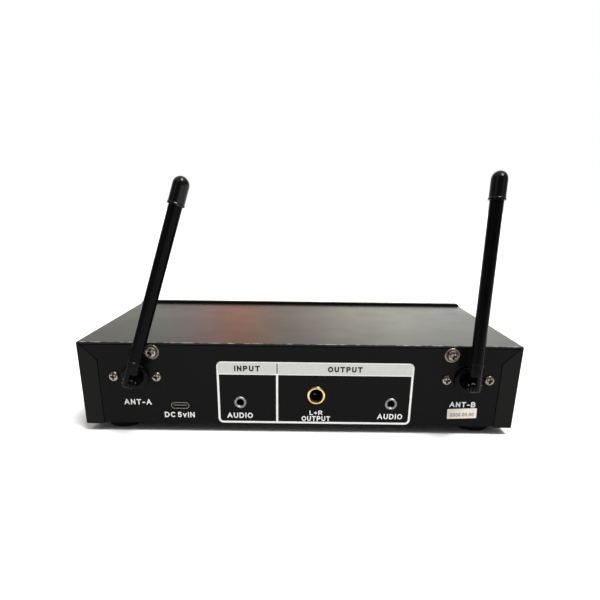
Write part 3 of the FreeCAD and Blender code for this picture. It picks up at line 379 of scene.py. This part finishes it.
def flat_print(name, outlines, lift, thickness=0.03 * MM):
    """Ink or paper raised off the rear panel: outlines in (x, z), with inner ones as holes."""
    curve = bpy.data.curves.new(name + "_outline", "CURVE")
    curve.dimensions = "2D"
    curve.fill_mode = "BOTH"
    curve.extrude = thickness / 2
    for outline in outlines:
        spline = curve.splines.new("POLY")
        spline.points.add(len(outline) - 1)
        for point, (x, z) in zip(spline.points, outline):
            point.co = (x, z, 0, 1)
        spline.use_cyclic_u = True
    return stand_on_panel(name, curve, lift)


def stand_on_panel(name, curve, lift):
    """Turn a flat curve into a mesh that stands on the rear panel."""
    source = bpy.data.objects.new(name + "_source", curve)
    bpy.context.scene.collection.objects.link(source)
    bpy.context.view_layer.update()
    evaluated = source.evaluated_get(bpy.context.evaluated_depsgraph_get())
    mesh = bpy.data.meshes.new_from_object(evaluated)
    bpy.data.objects.remove(source)
    mesh.name = name
    mesh.transform(Matrix.Rotation(math.radians(90), 4, "X"))
    mesh.transform(Matrix.Translation((0, REAR - lift, 0)))
    return new_piece(name, mesh)


def arc(centre_x, centre_y, reach_x, reach_y, start, end, steps=8):
    """Points along part of an ellipse, in degrees anticlockwise from +X."""
    points = []
    for step in range(steps + 1):
        turn = math.radians(start + (end - start) * step / steps)
        points.append((centre_x + reach_x * math.cos(turn), centre_y + reach_y * math.sin(turn)))
    return points


# Letters as the middle lines of their strokes, with their width first; capitals are 1 high
LETTERS = {
    "A": (0.86, [[(0, 0), (0.43, 1), (0.86, 0)], [(0.17, 0.34), (0.69, 0.34)]]),
    "B": (0.68, [
        [(0, 0), (0, 1)],
        [(0, 1)] + arc(0.38, 0.77, 0.25, 0.23, 90, -90) + [(0, 0.54)],
        [(0, 0.54)] + arc(0.42, 0.27, 0.27, 0.27, 90, -90) + [(0, 0)],
    ]),
    "C": (0.78, [arc(0.41, 0.5, 0.41, 0.5, 48, 312, 14)]),
    "D": (0.74, [[(0, 0), (0, 1)] + arc(0.32, 0.5, 0.42, 0.5, 90, -90, 12) + [(0, 0)]]),
    "I": (0.0, [[(0, 0), (0, 1)]]),
    "L": (0.56, [[(0, 1), (0, 0), (0.56, 0)]]),
    "N": (0.7, [[(0, 0), (0, 1)], [(0.05, 0.9), (0.65, 0.1)], [(0.7, 0), (0.7, 1)]]),
    "O": (0.86, [arc(0.43, 0.5, 0.43, 0.5, 0, 360, 24)]),
    "P": (0.66, [
        [(0, 0), (0, 1)],
        [(0, 1)] + arc(0.38, 0.72, 0.28, 0.28, 90, -90) + [(0, 0.44)],
    ]),
    "R": (0.74, [
        [(0, 0), (0, 1)],
        [(0, 1)] + arc(0.42, 0.73, 0.27, 0.27, 90, -90) + [(0, 0.46)],
        [(0.4, 0.42), (0.72, 0.03)],
    ]),
    "T": (0.72, [[(0, 1), (0.72, 1)], [(0.36, 1), (0.36, 0)]]),
    "U": (0.7, [[(0, 1)] + arc(0.35, 0.36, 0.35, 0.36, 180, 360, 10) + [(0.7, 1)]]),
    "v": (0.54, [[(0, 0.72), (0.27, 0), (0.54, 0.72)]]),
    "5": (0.6, [
        [(0.56, 1), (0.1, 1), (0.06, 0.5)],
        arc(0.27, 0.33, 0.31, 0.33, 130, -140, 12),
    ]),
    "0": (0.56, [arc(0.28, 0.5, 0.28, 0.5, 0, 360, 18)]),
    ".": (0.0, [[(0, 0), (0, 0.04)]]),
    "-": (0.34, [[(0, 0.38), (0.34, 0.38)]]),
    "+": (0.5, [[(0, 0.45), (0.5, 0.45)], [(0.25, 0.2), (0.25, 0.7)]]),
    " ": (0.2, []),
}


STROKE = 0.24  # an ordinary stroke's thickness, as a share of a capital's height
BOLD_STROKE = 0.34
FINE_STROKE = 0.16
LETTER_GAP = 0.24
LEVEL_STEP = 0.006 * MM  # between strokes of one letter, so that none lies in another's surface
INK_THICKNESS = 0.015 * MM
MITRE_LIMIT = 0.45  # the sharpest corner that is mitred in full, as a cosine


def ribbon(mesh, points, half, closed, level):
    """A flat strip of even width along a line of points, with mitred corners, at its own level."""
    count = len(points)
    rows = []
    for number, point in enumerate(points):
        before = points[(number - 1) % count] if closed or number else None
        after = points[(number + 1) % count] if closed or number < count - 1 else None
        ways = []
        if before is not None:
            ways.append((point - before).normalized())
        if after is not None:
            ways.append((after - point).normalized())
        normals = [Vector((-way.y, way.x)) for way in ways]
        side = sum(normals, Vector((0, 0))).normalized()
        side = side * (half / max(MITRE_LIMIT, side.dot(normals[0])))
        spread = Vector((0, 0))
        if before is None:
            spread = ways[0] * -half
        elif after is None:
            spread = ways[0] * half
        rows.append([mesh.verts.new((*(point + spread + side * sign), level)) for sign in (1, -1)])
    for number in range(count if closed else count - 1):
        first, second = rows[number], rows[(number + 1) % count]
        mesh.faces.new((first[0], first[1], second[1], second[0]))


def word(name, text, centre, size, material, lift=0.02 * MM, weight=STROKE, turn=0.0):
    """A printed word in plain strokes.

    Its size is its width and capital height. It is centred at (x, z) and turned in degrees.
    """
    start = 0.0
    strokes = []
    for letter in text:
        width, lines = LETTERS[letter]
        for order, line in enumerate(lines):
            strokes.append((order * LEVEL_STEP, [Vector((start + x, y)) for x, y in line]))
        start += width + weight + LETTER_GAP if lines else width
    wide = start - LETTER_GAP
    tall = 1 + weight
    scale = Vector((size[0] / wide, size[1] / tall))
    mesh = bmesh.new()
    spin = Matrix.Rotation(math.radians(turn), 2)
    for level, line in strokes:
        inset = [
            Vector(((point.x + weight / 2) * scale.x, (point.y + weight / 2) * scale.y))
            for point in line
        ]
        moved = [spin @ (point - Vector(size) / 2) for point in inset]
        closed = len(moved) > 2 and (moved[0] - moved[-1]).length < 0.001 * MM
        ribbon(mesh, moved[:-1] if closed else moved, weight * scale.y / 2, closed, level)
    data = bpy.data.meshes.new(name)
    mesh.to_mesh(data)
    mesh.free()
    data.transform(Matrix.Rotation(math.radians(90), 4, "X"))
    data.transform(Matrix.Translation((centre[0], REAR - lift, centre[1])))
    made = new_piece(name, data)
    solid = made.modifiers.new("ink_thickness", "SOLIDIFY")
    solid.thickness = INK_THICKNESS
    solid.offset = 0
    keep(made, "case", material)


# ---------------------------------------------------------------- print on the rear panel


# The rear panel's print, from the case's middle and its lowest edge
BOX_LEFT, BOX_RIGHT = -40.0 * MM, 55.0 * MM
BOX_BOTTOM, BOX_TOP = CASE_LOW + 1.2 * MM, CASE_LOW + 32.75 * MM
BAND_BOTTOM = CASE_LOW + 26.3 * MM
BAND_MIDDLE = CASE_LOW + 29.4 * MM
DIVIDER = -10.9 * MM


def make_box_print():
    """The ruled box round the audio sockets, with its two filled header bands."""
    line = 1.0 * MM
    corner = 2.5 * MM
    inner = corner - line
    cell_bottom = BOX_BOTTOM + line
    outer = rounded_outline(BOX_LEFT, BOX_BOTTOM, BOX_RIGHT, BOX_TOP, corner)
    left_cell = rounded_outline(
        BOX_LEFT + line, cell_bottom, DIVIDER - line / 2, BAND_BOTTOM, (inner, 0, 0, 0)
    )
    right_cell = rounded_outline(
        DIVIDER + line / 2, cell_bottom, BOX_RIGHT - line, BAND_BOTTOM, (0, inner, 0, 0)
    )
    slit_half, slit_foot, slit_head = 0.3 * MM, 0.7 * MM, 0.6 * MM
    slit = rounded_outline(
        DIVIDER - slit_half, BAND_BOTTOM + slit_foot, DIVIDER + slit_half, BOX_TOP - slit_head, 0
    )
    ruled = flat_print("ruled_box_print", [outer, left_cell, right_cell, slit], 0.015 * MM)
    keep(ruled, "case", WHITE_INK)
    rim, side_rim = 0.45 * MM, 0.55 * MM
    bands = (("band_print_left", BOX_LEFT, DIVIDER), ("band_print_right", DIVIDER, BOX_RIGHT))
    for name, start, end in bands:
        outline = rounded_outline(
            start + side_rim, BAND_BOTTOM + rim, end - side_rim, BOX_TOP - rim, 0.6 * MM
        )
        fill = flat_print(name, [outline], 0.036 * MM, 0.01 * MM)
        keep(fill, "case", BAND_INK)


def make_words():
    """The words in the bands, and the ones by the sockets and antennas."""
    band_lift = 0.05 * MM
    for name, text, x, width in (
        ("input_print", "INPUT", -25.35, 12.5),
        ("output_print", "OUTPUT", 21.85, 16.7),
    ):
        centre, size = (x * MM, BAND_MIDDLE), (width * MM, 2.8 * MM)
        word(name, text, centre, size, BLACK_INK, band_lift, BOLD_STROKE)
    # Name, text, middle across and up from the case's lowest edge, width and height, in mm
    words = (
        ("audio_in_print", "AUDIO", -29.3, 5.2, 12.7, 2.8),
        ("line_print_a", "L+R", 8.3, 7.0, 6.5, 2.4),
        ("line_print_b", "OUTPUT", 8.3, 3.9, 14.1, 2.6),
        ("audio_out_print", "AUDIO", 44.9, 5.4, 12.4, 2.8),
        ("antenna_a_print", "ANT-A", -79.3, 11.7, 13.4, 2.8),
        ("power_print", "DC 5vIN", -59.2, 5.2, 14.8, 2.8),
        ("antenna_b_print", "ANT-B", 80.2, 12.2, 12.7, 2.7),
    )
    for name, text, x, z, width, height in words:
        word(name, text, (x * MM, CASE_LOW + z * MM), (width * MM, height * MM), WHITE_INK)


def make_sticker():
    """A small inspection sticker, a little askew, with a blank date."""
    middle = Vector((80.45 * MM, CASE_LOW + 7.5 * MM))
    half_width, half_height, tilt = 7.25 * MM, 2.6 * MM, 2.5
    turn = Matrix.Rotation(math.radians(tilt), 2)
    corners = rounded_outline(-half_width, -half_height, half_width, half_height, 0.3 * MM)
    outline = [tuple(middle + turn @ Vector(corner)) for corner in corners]
    sticker = flat_print("inspection_sticker", [outline], 0.04 * MM, 0.08 * MM)
    keep(sticker, "case", PAPER)
    lower = middle + turn @ Vector((0, -0.6 * MM))
    size = (11.6 * MM, 1.9 * MM)
    word(
        "sticker_print", "0000.00.00", tuple(lower), size, BROWN_INK, 0.09 * MM, FINE_STROKE, tilt
    )


def make_knob_marks():
    """White paint on the floor of the pointer groove in each knob's face."""
    depth, width, thickness = 0.37 * MM, 0.84 * MM, 0.04 * MM
    near, far = 1.7 * MM, 6.0 * MM  # from the knob's middle
    for side in ("left", "right"):
        low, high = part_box(f"volume_knob_{side}")
        middle = (low + high) / 2
        mesh = bmesh.new()
        bmesh.ops.create_cube(mesh, size=1.0)
        size = Matrix.Diagonal((width, thickness, far - near, 1))
        place = Matrix.Translation((middle.x, high.y - depth, middle.z + (near + far) / 2))
        bmesh.ops.transform(mesh, matrix=place @ size, verts=mesh.verts)
        data = bpy.data.meshes.new(f"knob_mark_{side}")
        mesh.to_mesh(data)
        mesh.free()
        keep(new_piece(f"knob_mark_{side}", data), f"volume_{side}", WHITE_INK)


make_box_print()
make_words()
make_sticker()
make_knob_marks()


# ---------------------------------------------------------------- studio


def make_floor():
    """A wide pale floor."""
    mesh = bpy.data.meshes.new("floor")
    reach = 30.0
    corners = [(-reach, -reach, 0), (reach, -reach, 0), (reach, reach, 0), (-reach, reach, 0)]
    mesh.from_pydata(corners, [], [(0, 1, 2, 3)])
    floor = new_piece("floor", mesh)
    made = Shader("pale_floor").set(IOR=1.05, Roughness=0.9)
    made.colour(made.blend(made.noise(6, 2.0), (0.93, 0.93, 0.93), (0.95, 0.95, 0.95)))
    mesh.materials.append(made.material)


# The room's light by direction: degrees from +Y toward +X, then the colour there
ROOM = (
    (-180, (0.1, 0.1, 0.1)),
    (-152, (0.1, 0.1, 0.1)),
    (-130, (0.6, 0.6, 0.6)),
    (-108, (0.15, 0.15, 0.15)),
    (-60, (0.4, 0.4, 0.4)),
    (-24, (1.12, 1.02, 0.95)),
    (-17, (1.0, 1.06, 0.9)),
    (-12, (1.1, 0.93, 0.9)),
    (-6.6, (1.6, 0.8, 0.58)),
    (-3, (1.2, 0.98, 0.8)),
    (-0.5, (1.2, 1.08, 0.95)),
    (5, (1.8, 1.7, 1.45)),
    (11, (2.15, 2.15, 1.9)),
    (18, (1.85, 1.88, 1.75)),
    (26, (1.45, 1.47, 1.35)),
    (60, (0.45, 0.45, 0.45)),
    (108, (0.15, 0.15, 0.15)),
    (130, (0.6, 0.6, 0.6)),
    (152, (0.1, 0.1, 0.1)),
    (180, (0.1, 0.1, 0.1)),
)


def make_room():
    """A white surround, and a softly striped room of light for whatever reflects it."""
    overhead_start, overhead_full = 0.55, 0.85  # how far up a direction points
    overhead_colour = (0.9, 0.9, 0.9, 1)
    white = (1, 1, 1, 1)
    world = bpy.data.worlds.new("studio")
    world.use_nodes = True
    tree = world.node_tree
    tree.nodes.clear()
    new, link = tree.nodes.new, tree.links.new
    way = new("ShaderNodeSeparateXYZ")
    link(new("ShaderNodeTexCoord").outputs["Generated"], way.inputs["Vector"])
    bearing = new("ShaderNodeMath")
    bearing.operation = "ARCTAN2"
    link(way.outputs["X"], bearing.inputs[0])
    link(way.outputs["Y"], bearing.inputs[1])
    share = new("ShaderNodeMapRange")
    share.inputs["From Min"].default_value = -math.pi
    share.inputs["From Max"].default_value = math.pi
    link(bearing.outputs["Value"], share.inputs["Value"])
    around = new("ShaderNodeValToRGB")
    around.color_ramp.interpolation = "EASE"
    stops = around.color_ramp.elements
    ready_stops = len(stops)
    for number, (degrees, colour) in enumerate(ROOM):
        stop = stops[number] if number < ready_stops else stops.new(1.0)
        stop.position = 0.5 + degrees / 360
        stop.color = (*colour, 1)
    link(share.outputs["Result"], around.inputs["Fac"])
    height = new("ShaderNodeMapRange")
    height.interpolation_type = "SMOOTHSTEP"
    height.inputs["From Min"].default_value = overhead_start
    height.inputs["From Max"].default_value = overhead_full
    link(way.outputs["Z"], height.inputs["Value"])
    overhead = new("ShaderNodeMix")
    overhead.data_type = "RGBA"
    overhead.inputs[MIX_SECOND].default_value = overhead_colour
    link(height.outputs["Result"], overhead.inputs[MIX_SHARE])
    link(around.outputs["Color"], overhead.inputs[MIX_FIRST])
    room = new("ShaderNodeBackground")
    link(overhead.outputs[MIX_COLOUR], room.inputs["Color"])
    plain = new("ShaderNodeBackground")
    plain.inputs["Color"].default_value = white
    seen = new("ShaderNodeMixShader")
    link(new("ShaderNodeLightPath").outputs["Is Camera Ray"], seen.inputs["Fac"])
    link(room.outputs["Background"], seen.inputs[1])
    link(plain.outputs["Background"], seen.inputs[2])
    link(seen.outputs["Shader"], new("ShaderNodeOutputWorld").inputs["Surface"])
    bpy.context.scene.world = world


def make_sun():
    """A broad soft light from overhead, a little from the connectors' side and from +X."""
    beam = Vector((-0.34, 0.3, -1))
    data = bpy.data.lights.new("overhead", "SUN")
    data.energy = 3.6
    data.angle = math.radians(24)
    light = bpy.data.objects.new("overhead", data)
    bpy.context.scene.collection.objects.link(light)
    light.rotation_euler = beam.to_track_quat("-Z", "Y").to_euler()


def make_studio():
    make_floor()
    make_room()
    make_sun()


def make_camera():
    """A view of the connectors from a little above them."""
    pitch, yaw, roll = 0.35559, 0.0018, -0.01248  # radians
    place = Vector((-0.11 * MM, REAR - 240.29 * MM, CASE_LOW + 101.82 * MM))
    data = bpy.data.cameras.new("camera")
    data.sensor_width = 36
    data.lens = 31.31
    data.shift_y = 0.17
    data.clip_start = 0.01
    camera = bpy.data.objects.new("camera", data)
    bpy.context.scene.collection.objects.link(camera)
    along = math.cos(pitch)
    ahead = Vector((math.sin(yaw) * along, math.cos(yaw) * along, -math.sin(pitch)))
    level = Vector((math.cos(yaw), -math.sin(yaw), 0))
    down = ahead.cross(level)
    right = level * math.cos(roll) + down * math.sin(roll)
    down = down * math.cos(roll) - level * math.sin(roll)
    turn = Matrix((right, -down, -ahead)).transposed()
    camera.matrix_world = Matrix.Translation(place) @ turn.to_4x4()
    bpy.context.scene.camera = camera


make_studio()
make_camera()
bpy.context.scene.view_settings.view_transform = "Standard"
